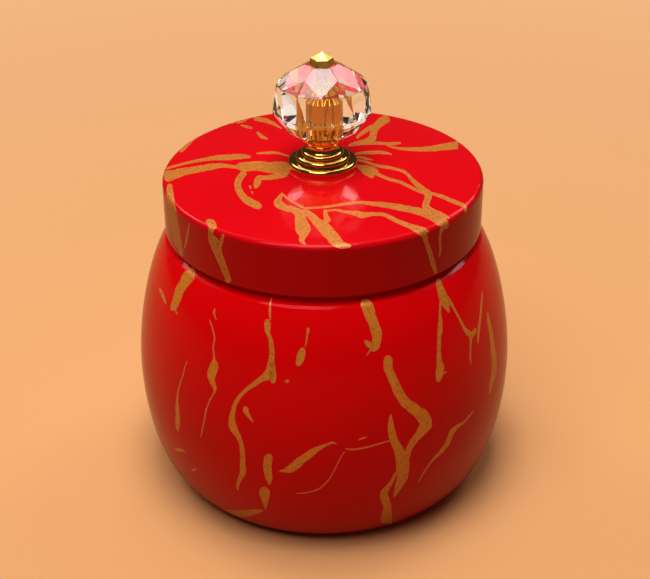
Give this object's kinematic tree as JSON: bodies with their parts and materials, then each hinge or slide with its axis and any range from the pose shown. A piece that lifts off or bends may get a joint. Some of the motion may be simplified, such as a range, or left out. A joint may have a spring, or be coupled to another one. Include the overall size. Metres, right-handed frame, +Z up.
{
  "type": "lidded dry fruit jar",
  "caption": "Pot-bellied round jar for dry fruit with a thick lift-off lid, a hidden seal ring and a faceted clear knob on a stepped base, glossy red with gold marbling.",
  "frame": {"origin": "centre of the foot ring, on the surface that the jar stands on", "axes": "+Z up along the turning axis, -Y towards the side that the picture shows"},
  "size_m": [0.1194, 0.1194, 0.1419],
  "materials": {
    "red_enamel_wood": "turned wood under glossy red enamel with gold marbling, clear varnish inside",
    "silicone": "translucent white silicone",
    "gold_plate": "polished gold plating",
    "crystal": "clear, cut and polished",
    "brass_rod": "drawn and threaded",
    "zinc_steel": "zinc plated"
  },
  "bodies": {
    "jar": {"jar_body": "red_enamel_wood"},
    "seal": {"lid_seal": "silicone"},
    "lid": {"lid": "red_enamel_wood", "knob_base": "gold_plate", "knob_crystal": "crystal", "knob_tip": "gold_plate", "knob_rod": "brass_rod", "knob_washer": "zinc_steel", "knob_nut": "zinc_steel"}
  },
  "joints": [
    {"name": "lid_lift", "type": "slide", "parent": "jar", "child": "seal", "axis": [0, 0, 1], "range_m": [0, 0.1]},
    {"name": "lid_turn", "type": "hinge", "parent": "seal", "child": "lid", "pos_m": [0, 0, 0.0819], "axis": [0, 0, 1], "continuous": true}
  ]
}
